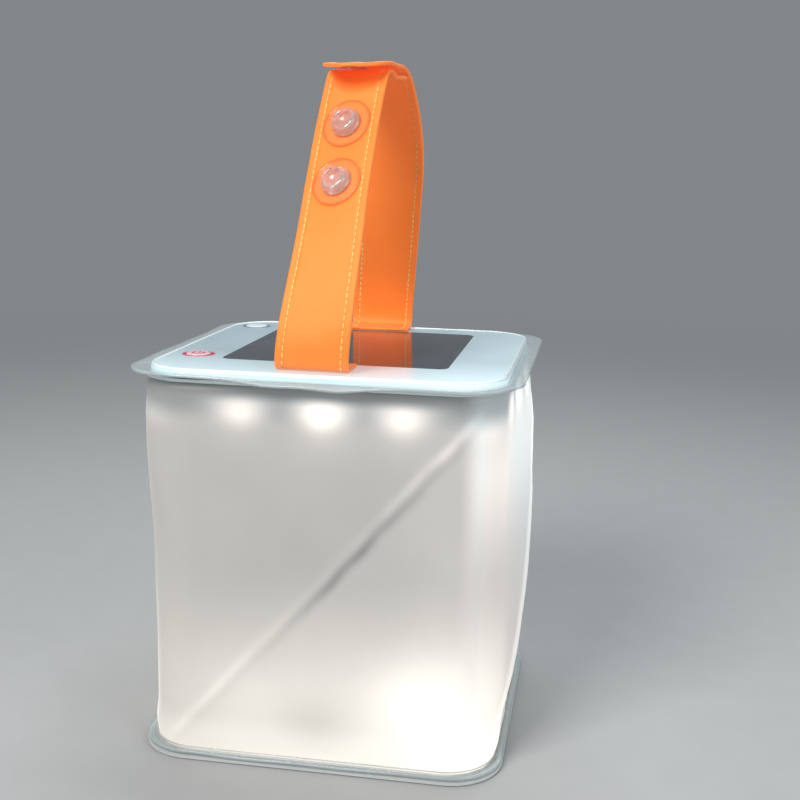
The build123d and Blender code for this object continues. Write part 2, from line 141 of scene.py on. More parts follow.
def square_outline(half, corner, count):
    """Points evenly spaced round a rounded square, as (x, y, normal x, normal y), from the front's middle."""
    run = 2 * (half - corner)
    arc = corner * pi / 2
    total = 4 * (run + arc)
    points = []
    for i in range(count):
        at = (i / count * total + run / 2) % total
        side = int(at // (run + arc))
        along = at - side * (run + arc)
        if along <= run:
            x, y, nx, ny = -half + corner + along, -half, 0.0, -1.0
        else:
            angle = (along - run) / corner
            nx, ny = sin(angle), -cos(angle)
            x, y = half - corner + corner * nx, -half + corner + corner * ny
        turn = side * pi / 2
        c, s = cos(turn), sin(turn)
        points.append((x * c - y * s, x * s + y * c, nx * c - ny * s, nx * s + ny * c))
    return points


def smoothstep(low, high, value):
    t = min(max((value - low) / (high - low), 0.0), 1.0)
    return t * t * (3 - 2 * t)


def bump(value, middle, width):
    return exp(-(((value - middle) / width) ** 2))


# ------------------------------------------------------------------ materials
class Paint:
    """A Principled material with short ways to add nodes."""

    def __init__(self, name, **sockets):
        self.material = bpy.data.materials.new(name)
        self.material.use_nodes = True
        self.tree = self.material.node_tree
        self.shader = self.tree.nodes["Principled BSDF"]
        self.set(**sockets)

    def set(self, **sockets):
        for key, value in sockets.items():
            label = key.replace("_", " ").title().replace("Ior", "IOR")
            self.shader.inputs[label].default_value = value

    def node(self, kind):
        return self.tree.nodes.new(kind)

    def link(self, source, target):
        self.tree.links.new(source, target)

    def place(self):
        """Object coordinates."""
        return self.node("ShaderNodeTexCoord").outputs["Object"]

    def split(self, vector):
        """The X, Y and Z outputs of a vector."""
        made = self.node("ShaderNodeSeparateXYZ")
        self.link(vector, made.inputs["Vector"])
        return made.outputs

    def attribute(self, name, output="Fac"):
        made = self.node("ShaderNodeAttribute")
        made.attribute_name = name
        return made.outputs[output]

    def noise(self, scale, detail=3.0, roughness=0.5, vector=None):
        made = self.node("ShaderNodeTexNoise")
        made.inputs["Scale"].default_value = scale
        made.inputs["Detail"].default_value = detail
        made.inputs["Roughness"].default_value = roughness
        self.link(vector if vector is not None else self.place(), made.inputs["Vector"])
        return made.outputs["Fac"]

    def ramp(self, factor, *stops):
        """Colour ramp; each stop is (position, colour)."""
        made = self.node("ShaderNodeValToRGB")
        while len(made.color_ramp.elements) < len(stops):
            made.color_ramp.elements.new(0.5)
        for element, (position, colour) in zip(made.color_ramp.elements, stops):
            element.position = position
            element.color = (*colour, 1)
        self.link(factor, made.inputs["Fac"])
        return made.outputs["Color"]

    def map(self, factor, low, high, from_low=0.0, from_high=1.0):
        made = self.node("ShaderNodeMapRange")
        limits = (("From Min", from_low), ("From Max", from_high), ("To Min", low), ("To Max", high))
        for key, value in limits:
            made.inputs[key].default_value = value
        self.link(factor, made.inputs["Value"])
        return made.outputs["Result"]

    def math(self, operation, a, b):
        made = self.node("ShaderNodeMath")
        made.operation = operation
        for socket, value in zip(made.inputs, (a, b)):
            if isinstance(value, (int, float)):
                socket.default_value = value
            else:
                self.link(value, socket)
        return made.outputs["Value"]

    def mix(self, factor, a, b):
        made = self.node("ShaderNodeMix")
        made.data_type = "RGBA"
        for index, value in ((0, factor), (6, a), (7, b)):
            if isinstance(value, (int, float)):
                made.inputs[index].default_value = value
            elif isinstance(value, tuple):
                made.inputs[index].default_value = (*value, 1)
            else:
                self.link(value, made.inputs[index])
        return made.outputs[2]

    def colour(self, source):
        self.link(source, self.shader.inputs["Base Color"])

    def rough(self, source):
        self.link(source, self.shader.inputs["Roughness"])

    def bumps(self, height, strength=0.3, distance=0.2 * MM):
        made = self.node("ShaderNodeBump")
        made.inputs["Strength"].default_value = strength
        made.inputs["Distance"].default_value = distance
        self.link(height, made.inputs["Height"])
        self.link(made.outputs["Normal"], self.shader.inputs["Normal"])


def paint(piece, *paints):
    """Give an object its materials, in slot order."""
    piece.data.materials.clear()
    for one in paints:
        piece.data.materials.append(one.material)


def simple(name, base, roughness, grain=900.0, vary=0.06, strength=0.15, **sockets):
    """Moulded or coated surface: faint colour drift, roughness drift and fine grain."""
    made = Paint(name, roughness=roughness, **sockets)
    drift = made.noise(grain * 0.06, 4)
    dark = tuple(c * (1 - vary) for c in base)
    light = tuple(min(1.0, c * (1 + vary)) for c in base)
    made.colour(made.ramp(drift, (0.3, dark), (0.7, light)))
    made.rough(made.map(drift, roughness * 0.85, min(1.0, roughness * 1.2)))
    made.bumps(made.noise(grain, 2), strength, 0.06 * MM)
    return made


def wall_paint():
    """Frosted film lit from inside: the stored glow is what the lamps throw on it."""
    made = Paint("frosted_wall", roughness=0.42, ior=1.45)
    cloud = made.noise(26, 4, 0.55)
    speck = made.noise(1800, 2)
    made.colour(made.ramp(cloud, (0.25, (0.235, 0.24, 0.24)), (0.8, (0.275, 0.275, 0.27))))
    glow = made.attribute("glow")
    warm = made.attribute("warm")
    soft = made.map(cloud, 0.955, 1.045)
    tint = made.ramp(warm, (0.0, (0.86, 0.97, 1.0)), (0.5, (1.0, 0.925, 0.865)), (1.0, (1.0, 0.94, 0.83)))
    made.link(tint, made.shader.inputs["Emission Color"])
    made.link(made.math("MULTIPLY", glow, soft), made.shader.inputs["Emission Strength"])
    made.rough(made.map(cloud, 0.36, 0.5))
    made.bumps(made.math("ADD", made.map(cloud, 0, 6), speck), 0.22, 0.05 * MM)
    return made


def clear_paint(name, base, alpha, roughness=0.18, glow=0.0):
    """Clear film: some of it is seen through; glow paints light on it, as a faint emission of its own colour.
    """
    made = Paint(name, roughness=roughness, ior=1.46, alpha=alpha, coat_weight=0.3, coat_roughness=0.08)
    haze = made.noise(160, 4)
    made.colour(made.ramp(haze, (0.3, tuple(c * 0.92 for c in base)), (0.75, base)))
    made.rough(made.map(haze, roughness * 0.7, roughness * 1.5))
    made.bumps(made.noise(320, 3), 0.25, 0.15 * MM)
    if glow:
        made.set(emission_color=(*base, 1), emission_strength=glow)
    return made


def webbing_paint(name, base, deep):
    """Satin ribbon: fine ribs across and threads along, from the stored web coordinates in mm."""
    made = Paint(name, roughness=0.32, sheen_weight=0.5, sheen_roughness=0.35, specular_ior_level=0.75)
    made.set(specular_tint=(1.0, 0.62, 0.36, 1), sheen_tint=(1.0, 0.62, 0.36, 1))
    # Painted light: a faint red-orange emission lifts the webbing's shaded parts, in place of light shining
    # through the ribbon and bouncing between its layers.
    made.set(emission_color=(1.0, 0.12, 0.025, 1), emission_strength=0.22)
    web = made.attribute("web", "Vector")
    across, along, _ = made.split(web)
    ribs = made.math("SINE", made.math("MULTIPLY", along, 2 * pi / 0.55), 0.0)
    threads = made.math("SINE", made.math("MULTIPLY", across, 2 * pi / 0.42), 0.0)
    weave = made.math("MULTIPLY", ribs, threads)
    drift = made.noise(0.06, 3, 0.5, web)
    fibre = made.noise(2.2, 3, 0.6, web)
    fine = made.math("ADD", made.map(weave, -0.07, 0.07, -1, 1), made.map(fibre, -0.08, 0.08))
    made.colour(made.ramp(made.math("ADD", fine, made.map(drift, 0.25, 0.75)), (0.1, deep), (0.85, base)))
    made.rough(made.map(fibre, 0.27, 0.38))
    made.bumps(made.math("ADD", weave, made.map(fibre, -0.8, 0.8)), 0.4, 0.07 * MM)
    return made


wall_film = wall_paint()
# The skirts and the weld band get a faint glow: painted light from the lit film beside them.
skirt_film = clear_paint("clear_skirt", (0.50, 0.58, 0.60), 0.58, glow=0.03)
skirt_rim_painted_light = clear_paint("skirt_rim_painted_light", (0.92, 0.97, 0.98), 0.95, 0.22, glow=0.16)
weld_film = clear_paint("weld_band", (0.80, 0.85, 0.86), 0.80, 0.3, glow=0.06)
orange = webbing_paint("orange_webbing", (1.0, 0.285, 0.050), (0.96, 0.235, 0.036))
# Painted highlight: the hems' rounded edges take a lighter orange, for the light they catch.
hem_highlight_orange = webbing_paint("orange_hem_highlight", (1.0, 0.60, 0.24), (1.0, 0.50, 0.16))
thread = simple("gold_thread", (1.0, 0.68, 0.20), 0.5, 4000, 0.2, 0.4, sheen_weight=0.4)
snap_plastic = clear_paint("clear_snap", (1.0, 0.88, 0.86), 1.0, 0.07)
snap_plastic.set(transmission_weight=0.76, ior=1.27, coat_weight=1.0, coat_roughness=0.03)
disc_plastic = clear_paint("clear_disc", (1.0, 0.50, 0.24), 0.10, 0.08)
disc_plastic.set(coat_weight=1.0, coat_roughness=0.03)
# Painted shade: the disc's rim is a darker orange ring, for the shadow of the raised disc on the strap.
disc_rim_shade = clear_paint("clear_disc_rim_shade", (0.88, 0.24, 0.06), 0.42, 0.10)
weld_line = clear_paint("weld_line", (0.50, 0.52, 0.52), 0.75, 0.35)


# ------------------------------------------------------------------ the wall
FACES = (
    # pillow, ridge height, ridge sharpness: how each side's film stands, front, right, rear, left
    (3.2, 2.2, 0.9),
    (2.0, 6.2, 1.3),
    (3.0, 2.8, 1.0),
    (2.2, 1.6, 0.8),
)
CORNERS = (
    # how far each corner stands out near the head and at the middle:
    # front right, rear right, rear left, front left
    (0.6, -0.5),
    (1.2, -1.1),
    (1.0, -0.8),
    (2.6, -0.6),
)
SIGMA_SPAN = WALL_HALF - CORNER + CORNER * sqrt(0.5)     # a side's middle to the middle of its corner
FRONT, RIGHT = 0, 1     # sides of the wall, with rear 2 and left 3


def face_place(x, y):
    """Which side a wall point is on, and how far along it, -1 to 1 from left to right seen from outside."""
    if -y >= abs(x):
        return 0, x / SIGMA_SPAN
    if x >= abs(y):
        return 1, y / SIGMA_SPAN
    if y >= abs(x):
        return 2, -x / SIGMA_SPAN
    return 3, -y / SIGMA_SPAN


def film_offset(side, sigma, rise):
    """How far the film stands out from the straight tube, in metres, at a share of the height."""
    pillow, ridge, crisp = FACES[side]
    sigma = max(-1.0, min(1.0, sigma))
    swell = sin(pi * rise) ** 0.75 if 0 < rise < 1 else 0.0
    across = max(0.0, 1 - sigma * sigma)
    diagonal = (sigma + 1) / 2
    off_crease = (rise - crease_line(sigma)) / sqrt(2)
    envelope = max(0.0, 4 * diagonal * (1 - diagonal))
    tent = max(0.0, 1 - abs(off_crease) / 0.42)
    crease = exp(-((off_crease / 0.012) ** 2))
    total = pillow * swell * across ** 0.8
    total += ridge * tent ** 1.25 * envelope ** 0.7 * min(1.0, swell * 1.5)
    total += 0.35 * crisp * crease * envelope ** 0.4
    total += 0.9 * bump(rise, 0.050, 0.035)
    total += (1 - across) * corner_sway(side if sigma > 0 else side - 1, rise, swell)
    return total * MM


def corner_sway(corner, rise, swell):
    """A corner of the tube stands out under the head weld and is drawn in along its middle."""
    head, middle = CORNERS[corner]
    shoulder = smoothstep(0.52, 0.86, rise) * smoothstep(1.0, 0.985, rise)
    return head * shoulder + middle * swell * (1 - shoulder)


def wrinkle(x, y, z, rise):
    """Small unevenness of the film, gathered near the welds."""
    point = Vector((x * 28, y * 28, z * 14))
    soft = noise.fractal(point, 0.9, 2.1, 3)
    near_weld = exp(-((rise / 0.10) ** 2)) + exp(-(((1 - rise) / 0.12) ** 2))
    gathers = noise.noise(Vector((x * 95, y * 95, z * 9)))
    inside = min(1.0, 12 * rise * (1 - rise))
    return (0.55 * soft + 1.1 * near_weld * gathers) * MM * inside


REFLECTED = 0.20        # what the studio's light adds to the film
SIDE_LIGHT = (
    # front, right, rear, left: own level, light at the top, tilt towards the right edge
    (0.440, 0.00, 0.05),
    (0.565, 0.36, -0.02),
    (0.460, 0.03, 0.04),
    (0.460, 0.03, 0.04),
)
LAMP_SPOTS = ((-31.2, 0.62), (0.4, 0.95), (31.0, 0.72))     # place along a side in mm, strength


def crease_line(sigma):
    """Height share of the diagonal fold at a place along a side: it hangs a little below the diagonal."""
    diagonal = (sigma + 1) / 2
    return diagonal - 0.024 - 0.026 * diagonal


def crease_light(side, sigma, rise, jitter):
    """The fold shows as a pale strip at both ends and a soft dark band along the middle."""
    diagonal = (sigma + 1) / 2
    off = (rise - crease_line(sigma)) / sqrt(2) * WALL_RISE / MM + 0.9 * jitter
    ends = smoothstep(0.0, 0.10, diagonal) * smoothstep(1.0, 0.93, diagonal)
    if side == RIGHT:
        return ends * (0.26 * bump(off, 2.2, 3.6) - 0.13 * bump(off, -11, 10))
    pale = 0.035 + 0.15 * bump(diagonal, 0.86, 0.13) + 0.07 * bump(diagonal, 0.22, 0.16)
    dark = 0.025 + 0.17 * bump(diagonal, 0.64, 0.16) * (1 + 0.5 * jitter)
    strip = pale * (1 + 0.5 * jitter) * bump(off, 2.6, 2.0) - dark * bump(off, -1.2, 2.3)
    return ends * (strip + 0.035 * smoothstep(2.0, -6.0, off) * smoothstep(0.25, 0.6, rise))


def depth_below_top(rise):
    """How far a wall point is below the plate's top face, in mm."""
    return ((1 - rise) * WALL_RISE + TOP - WALL_HEAD) / MM


def lamp_spots(side, sigma, rise):
    """The lamps' bright spots on the film: wide at their top, narrower below."""
    below = depth_below_top(rise)
    along = sigma * SIGMA_SPAN / MM - (2.6 if side == FRONT else 0.0)
    width = 10.4 - 0.42 * max(0.0, below - 12)
    light = 0.0
    for place, power in LAMP_SPOTS:
        spot = smoothstep(7.5, 12.5, below) * bump(max(0.0, below - 14), 0, 5.6)
        light += power * spot * bump(along, place, width)
        light += 0.12 * power * bump(along, place, 13) * bump(below, 20, 10)
    return light


def own_light(side, sigma, rise):
    """Light that leaves one side of the film, from the lamps' housing and the folds."""
    level, upper, tilt = SIDE_LIGHT[side]
    below = depth_below_top(rise)
    along = sigma * SIGMA_SPAN / MM
    light = level + upper * bump(below, 33, 27) + tilt * smoothstep(0.30, 0.95, sigma)
    low = 1 - smoothstep(0.10, 0.56, rise)
    if side == RIGHT:
        light += low * (0.10 + 0.45 * smoothstep(-0.5, -1.0, sigma))
    else:
        light += low * (0.11 + 0.25 * (sigma + 1))
    light += 0.20 * (1 - smoothstep(0.0, 0.13, rise)) * (0.8 - 0.3 * sigma)
    if side == RIGHT:
        light += 0.06 * bump(below, 66, 24)
    if side == FRONT:
        light += 0.15 * bump(along, -24, 30) * bump(below, 134, 26)
        # Painted shadow of the valve, seen through the film low on the front.
        light -= 0.18 * bump(along, 1, 17) * bump(below, 138, 11)
        light += 0.25 * bump(along, 44, 20) * bump(below, 124, 17)
        light += 0.03 * smoothstep(-0.70, -0.95, sigma)
    return light


def lamp_light(side, sigma, rise):
    """Light that leaves the film: each side's own, joined round the corners, with fold and lamp spots."""
    light = own_light(side, sigma, rise)
    beyond = own_light((side + 1) % 4, -1.0, rise)
    share = smoothstep(0.84, 0.98, sigma)
    light += (beyond - light) * share
    below = depth_below_top(rise)
    # Painted shade: the film is dimmer in a band just under the plate, where the lamps' housing stands behind
    # it.
    edge = 11.0 + 1.5 * noise.noise(Vector((sigma * 3, side, 5)))
    light *= 0.58 + 0.42 * smoothstep(edge, edge + 9.5, below)
    light += crease_light(side, sigma, rise, noise.noise(Vector((sigma * 7, rise * 7, side))))
    light += 0.12 * bump(abs(sigma), 1.0, 0.13) * bump(below, 18, 5)
    return light + lamp_spots(side, sigma, rise)


def warmth(side, sigma, rise):
    """Hue of the light: cool under the plate, warm at the lamp spots and at the foot."""
    shade = smoothstep(22, 10, depth_below_top(rise))
    warm = 0.5 * (1 - shade) + 0.45 * (1 - rise) ** 2 + 0.9 * lamp_spots(side, sigma, rise)
    if side == RIGHT:
        warm -= 0.36 * smoothstep(-1, 0.0, sigma)
    elif side == FRONT:
        warm -= 0.20 * smoothstep(0.85, 1.0, sigma)
    return min(1.0, max(0.0, warm))


def side_wall():
    """The frosted film tube with its diagonal folds, as one sheet; thicken gives it its real thickness."""
    columns, rows = 480, 150
    outline = square_outline(WALL_HALF - 0.6 * MM, CORNER, columns)
    vertices, glow, warm, faces = [], [], [], []
    for r in range(rows + 1):
        rise = r / rows
        z = WALL_FOOT + rise * WALL_RISE
        for x, y, nx, ny in outline:
            side, sigma = face_place(x, y)
            out = film_offset(side, sigma, rise) + wrinkle(x, y, z, rise)
            vertices.append((x + nx * out, y + ny * out, z))
            glow.append(max(0.02, lamp_light(side, sigma, rise) - REFLECTED))
            warm.append(warmth(side, sigma, rise))
    for r in range(rows):
        for c in range(columns):
            d = (c + 1) % columns
            a, b = r * columns, (r + 1) * columns
            faces.append((a + c, a + d, b + d, b + c))
    piece = new_piece("frosted_side_wall", vertices, faces)
    store(piece, "glow", glow)
    store(piece, "warm", warm)
    return piece


def thicken(piece, thickness, offset=-1.0):
    """Give a sheet its real thickness, as a closed mesh."""
    modifier = piece.modifiers.new("thickness", "SOLIDIFY")
    modifier.thickness = thickness
    modifier.offset = offset
    modifier.use_even_offset = False
    apply_modifiers(piece)


def apply_modifiers(piece):
    bpy.context.view_layer.update()
    graph = bpy.context.evaluated_depsgraph_get()
    mesh = bpy.data.meshes.new_from_object(piece.evaluated_get(graph))
    old = piece.data
    piece.modifiers.clear()
    piece.data = mesh
    bpy.data.meshes.remove(old)


wall = side_wall()
thicken(wall, 0.5 * MM)
paint(wall, wall_film)
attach(wall, "lower_hem")
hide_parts("side_wall", "side_seam")
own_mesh(wall)


# ------------------------------------------------------------------ skirts
def skirt(name, level, droop, inner_half, outer_half):
    """Welded skirt: a thin clear ring with a raised rim, its paleness and glow a painted highlight; droop(x,
    y, share) moves it up or down.
    """
    columns = 360
    bands = (0.0, 0.12, 0.2, 0.35, 0.5, 0.65, 0.8, 0.93, 1.0)
    inner = square_outline(inner_half, CORNER - 1 * MM, columns)
    outer = square_outline(outer_half - 0.3 * MM, CORNER + (outer_half - PLATE_HALF) / 2, columns)
    half_t = 0.4 * MM
    top_rows, low_rows, vertices, faces, rim = [], [], [], [], []
    for share in bands:
        bead = 0.38 * MM * bump(share, 0.965, 0.05) + 0.25 * MM * bump(share, 0.14, 0.07)
        for sign, rows in ((1, top_rows), (-1, low_rows)):
            row = []
            for (xi, yi, _, _), (xo, yo, _, _) in zip(inner, outer):
                x, y = xi + (xo - xi) * share, yi + (yo - yi) * share
                z = level + sign * (half_t + bead) + droop(x, y, share)
                row.append(len(vertices))
                vertices.append((x, y, z))
            rows.append(row)
    for rows, order in ((top_rows, 1), (low_rows, -1)):
        for index, (a, b) in enumerate(zip(rows, rows[1:])):
            for c in range(columns):
                d = (c + 1) % columns
                quad = (a[c], b[c], b[d], a[d])
                faces.append(quad[::order])
                rim.append(1 if index >= len(bands) - 2 else 0)
    for a, b in ((top_rows[-1], low_rows[-1]), (low_rows[0], top_rows[0])):
        for c in range(columns):
            d = (c + 1) % columns
            faces.append((a[c], b[c], b[d], a[d]))
            rim.append(1 if a is top_rows[-1] else 0)
    piece = new_piece(name, vertices, faces)
    piece.data.polygons.foreach_set("material_index", rim)
    fix_normals(piece)
    paint(piece, skirt_film, skirt_rim_painted_light)
    return piece


def top_droop(x, y, share):
    """The upper skirt sags along the front and ripples a little all round."""
    front = smoothstep(SKIRT_HALF - 16 * MM, SKIRT_HALF - 2 * MM, -y)
    dip = -1.9 * bump(x, -16 * MM, 13 * MM) - 2.5 * bump(x, 8 * MM, 13 * MM) - 1.3 * bump(x, 62 * MM, 22 * MM)
    ripple = 0.7 * noise.noise(Vector((x * 34, y * 34, 3.0)))
    return ((front * dip + ripple) * share ** 1.5 + 1.6 * smoothstep(0.1, 0.8, share)) * MM


def low_droop(x, y, share):
    ripple = 0.9 * noise.noise(Vector((x * 30, y * 30, 9.0))) + 0.9
    return ripple * share ** 1.5 * MM


film_middle = (film_low.z + film_high.z) / 2
upper_skirt = skirt("upper_skirt", film_middle + 0.1 * MM, top_droop, PLATE_HALF - 6 * MM, SKIRT_HALF)
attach(upper_skirt, "top_unit")
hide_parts("top_film")

lower_middle = (lower_hem_low.z + lower_hem_high.z) / 2
lower_skirt = skirt("lower_skirt", lower_middle, low_droop, WALL_HALF - 4 * MM, BASE_HALF)
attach(lower_skirt, "lower_hem")
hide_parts("lower_weld_ring")


def weld_bead(name, half, corner, level, radius, squeeze=1.0):
    """Rounded bead that runs round a rounded square."""
    columns, turns = 360, 10
    vertices, faces = [], []
    for x, y, nx, ny in square_outline(half, corner, columns):
        lump = 1 + 0.12 * noise.noise(Vector((x * 120, y * 120, level * 50)))
        for t in range(turns):
            angle = 2 * pi * t / turns
            out, up = radius * cos(angle) * squeeze * lump, radius * sin(angle) * lump
            vertices.append((x + nx * out, y + ny * out, level + up))
    for c in range(columns):
        d = (c + 1) % columns
        for t in range(turns):
            u = (t + 1) % turns
            faces.append((c * turns + t, d * turns + t, d * turns + u, c * turns + u))
    piece = new_piece(name, vertices, faces)
    fix_normals(piece)
    return piece


upper_bead = weld_bead(
    "upper_weld_seam", WALL_HALF + 0.6 * MM, CORNER, upper_hem_low.z + 0.55 * MM, 0.6 * MM, 2.2
)
paint(upper_bead, weld_film)
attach(upper_bead, "top_unit")
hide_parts("upper_weld_ring")

WELD_LINES = ((0.4, 0.5), (1.8, 0.22))      # height above the wall's foot and radius, in mm
for index, (rise, radius) in enumerate(WELD_LINES):
    line = weld_bead(
        f"lower_weld_line_{index + 1}", WALL_HALF + 0.15 * MM, CORNER, WALL_FOOT + rise * MM, radius * MM, 1.6
    )
    paint(line, weld_line)
    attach(line, "lower_hem")


# ------------------------------------------------------------------ top plate, panel and buttons
def plate_look():
    """Pale moulding with a painted glow that rises towards its front edge and its right edge, standing in for
    the lantern's light there.
    """
    made = simple(
        "pale_plate", (0.40, 0.54, 0.60), 0.30, 700, 0.03, 0.10, coat_weight=0.5, coat_roughness=0.12
    )
    x, y, _ = made.split(made.place())
    # Painted glow, stronger towards the front edge and towards the right edge.
    front = made.map(y, 0.0, 0.42, -0.30 * PLATE_HALF, -0.98 * PLATE_HALF)
    side = made.map(x, 0.0, 0.22, 0.10 * PLATE_HALF, 0.95 * PLATE_HALF)
    made.set(emission_color=(0.80, 0.97, 1.0, 1))
    made.link(made.math("ADD", front, side), made.shader.inputs["Emission Strength"])
    return made


paint(nodes["top_plate"], plate_look())
film_edge = weld_bead("film_edge_bead", PLATE_HALF - 0.9 * MM, CORNER - 1 * MM, TOP - 0.35 * MM, 0.65 * MM)
edge_paint = simple("film_edge", (0.86, 0.96, 0.98), 0.22, 900, 0.03, 0.1, coat_weight=0.6)
paint(film_edge, edge_paint)
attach(film_edge, "top_unit")


def panel_paint():
    """Dark cells under a glossy cover: thin gaps between cells, hair-fine fingers across them."""
    made = Paint("solar_panel", roughness=0.07, ior=1.5, specular_ior_level=0.36)
    x, y, _ = made.split(made.place())
    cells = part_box("solar_cells")
    pitch = (cells[1].x - cells[0].x + 0.8 * MM) / 6

    def stripes(source, period, width):
        cut = made.math("DIVIDE", source, period)
        share = made.math("FRACT", made.math("ADD", cut, 100.0), 0.0)
        middle = made.math("ABSOLUTE", made.math("SUBTRACT", share, 0.5), 0.0)
        return made.math("GREATER_THAN", middle, 0.5 - 0.5 * width / period)

    gaps = stripes(x, pitch, 0.7 * MM)
    fingers = stripes(y, 2.4 * MM, 0.22 * MM)
    cloud = made.noise(60, 4)
    dark = made.ramp(cloud, (0.3, (0.026, 0.036, 0.050)), (0.75, (0.044, 0.058, 0.074)))
    fingered = made.mix(made.map(fingers, 0.0, 0.22), dark, (0.16, 0.17, 0.21))
    made.colour(made.mix(made.map(gaps, 0.0, 0.75), fingered, (0.018, 0.020, 0.030)))
    made.rough(made.map(cloud, 0.05, 0.11))
    return made


paint(nodes["panel_cover"], panel_paint())
cell_paint = simple("cell_silicon", (0.05, 0.055, 0.09), 0.3, 900, 0.2, 0.1)
backing_paint = simple("panel_backing_board", (0.06, 0.06, 0.07), 0.6, 700, 0.1, 0.2)
paint(nodes["solar_cells"], cell_paint)
paint(nodes["panel_backing"], backing_paint)

CAD_PAINTS = {
    "power_button": simple("button_blush", (0.78, 0.50, 0.57), 0.34, 900, 0.04, 0.15, coat_weight=0.3),
    "charge_button": simple("button_mist", (0.62, 0.74, 0.76), 0.34, 900, 0.04, 0.15, coat_weight=0.3),
    "power_button_ring": simple("ring_red", (0.62, 0.02, 0.07), 0.32, 900, 0.08, 0.1, coat_weight=0.3),
    "charge_button_ring": simple("ring_slate", (0.16, 0.21, 0.23), 0.36, 900, 0.08, 0.1),
    "seal_gasket": simple("gasket_rubber", (0.03, 0.03, 0.03), 0.7, 600, 0.2, 0.3),
    "housing_tray": simple("housing_moulding", (0.46, 0.48, 0.49), 0.5, 800, 0.06, 0.3),
    "housing_screws": simple("screw_steel", (0.60, 0.61, 0.64), 0.28, 1200, 0.1, 0.1, metallic=1.0),
    "circuit_board": simple("board_mask", (0.02, 0.20, 0.09), 0.35, 500, 0.15, 0.1),
    "board_components": simple("chip_resin", (0.02, 0.02, 0.022), 0.45, 900, 0.1, 0.2),
    "push_switches": simple("switch_shell", (0.55, 0.55, 0.57), 0.3, 900, 0.1, 0.1, metallic=0.9),
    "battery_cell": simple("battery_foil", (0.68, 0.69, 0.72), 0.35, 300, 0.08, 0.4, metallic=0.8),
    "battery_pad": simple("foam_pad", (0.10, 0.10, 0.11), 0.9, 1200, 0.2, 0.6),
    "led_board": simple("lamp_board_mask", (0.80, 0.82, 0.80), 0.4, 500, 0.05, 0.1),
    "led_cover": simple("lamp_cover_frost", (0.86, 0.86, 0.82), 0.4, 900, 0.04, 0.2),
    "solar_leads": simple("lead_red", (0.50, 0.02, 0.02), 0.4, 900, 0.1, 0.1),
    "battery_leads": simple("lead_crimson", (0.45, 0.02, 0.03), 0.4, 900, 0.1, 0.1),
    "led_leads": simple("lead_scarlet", (0.55, 0.03, 0.02), 0.4, 900, 0.1, 0.1),
    "bottom_sheet": simple("bottom_film", (0.46, 0.49, 0.50), 0.45, 300, 0.05, 0.3),
    "valve_body": clear_paint("valve_plastic", (0.80, 0.84, 0.86), 0.85, 0.25),
    "valve_cap": clear_paint("valve_cap_plastic", (0.84, 0.88, 0.90), 0.9, 0.25),
    "check_flap": clear_paint("flap_silicone", (0.85, 0.86, 0.86), 0.8, 0.4),
}
for node_name, finish_paint in CAD_PAINTS.items():
    paint(nodes[node_name], finish_paint)
# Painted glow: the lamps inside light the bottom sheet.
CAD_PAINTS["bottom_sheet"].set(emission_color=(1.0, 0.96, 0.90, 1), emission_strength=0.08)
lamp_paint = simple("lamp_phosphor", (1.0, 0.86, 0.45), 0.4, 900, 0.05, 0.1)
lamp_paint.set(emission_color=(1.0, 0.93, 0.82, 1), emission_strength=6.0)
paint(nodes["leds"], lamp_paint)


def flat_stroke(name, points, width, height, level):
    """Low raised stroke along a flat line of points, for a printed mark."""
    vertices, faces = [], []
    for i, (x, y) in enumerate(points):
        xa, ya = points[max(0, i - 1)]
        xb, yb = points[min(len(points) - 1, i + 1)]
        length = hypot(xb - xa, yb - ya)
        nx, ny = -(yb - ya) / length, (xb - xa) / length
        for side, z in ((-1, level), (1, level), (1, level + height), (-1, level + height)):
            vertices.append((x + side * nx * width / 2, y + side * ny * width / 2, z))
    last = len(points) - 1
    for i in range(last):
        for k in range(4):
            m = (k + 1) % 4
            faces.append((4 * i + k, 4 * i + m, 4 * i + 4 + m, 4 * i + 4 + k))
    faces.append((0, 1, 2, 3))
    faces.append((4 * last + 3, 4 * last + 2, 4 * last + 1, 4 * last))
    piece = new_piece(name, vertices, faces, smooth=False)
    fix_normals(piece)
    return piece


def power_mark():
    """Open circle and bar on the power button."""
    low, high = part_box("power_button")
    cx, cy = (low.x + high.x) / 2, (low.y + high.y) / 2
    ring = [
        (cx + 2.4 * MM * sin(radians(a)), cy + 2.4 * MM * cos(radians(a))) for a in range(38, 323, 12)
    ]
    arc = flat_stroke("power_mark_arc", ring, 0.6 * MM, 0.12 * MM, high.z - 0.02 * MM)
    bar = flat_stroke(
        "power_mark_bar", [(cx, cy + 0.4 * MM), (cx, cy + 3.0 * MM)], 0.6 * MM, 0.12 * MM, high.z - 0.02 * MM
    )
    for piece in (arc, bar):
        paint(piece, CAD_PAINTS["power_button_ring"])
        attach(piece, "power_button")


power_mark()

# ------------------------------------------------------------------ strap
STRAP_HALF = (foot_high.x - foot_low.x) / 2
WEB_T = 1.2 * MM
front_swing, rear_swing, lift = joints["strap_front_swing"], joints["strap_rear_swing"], joints["tongue_lift"]
tongue_axis = Vector(lift["pos_m"])


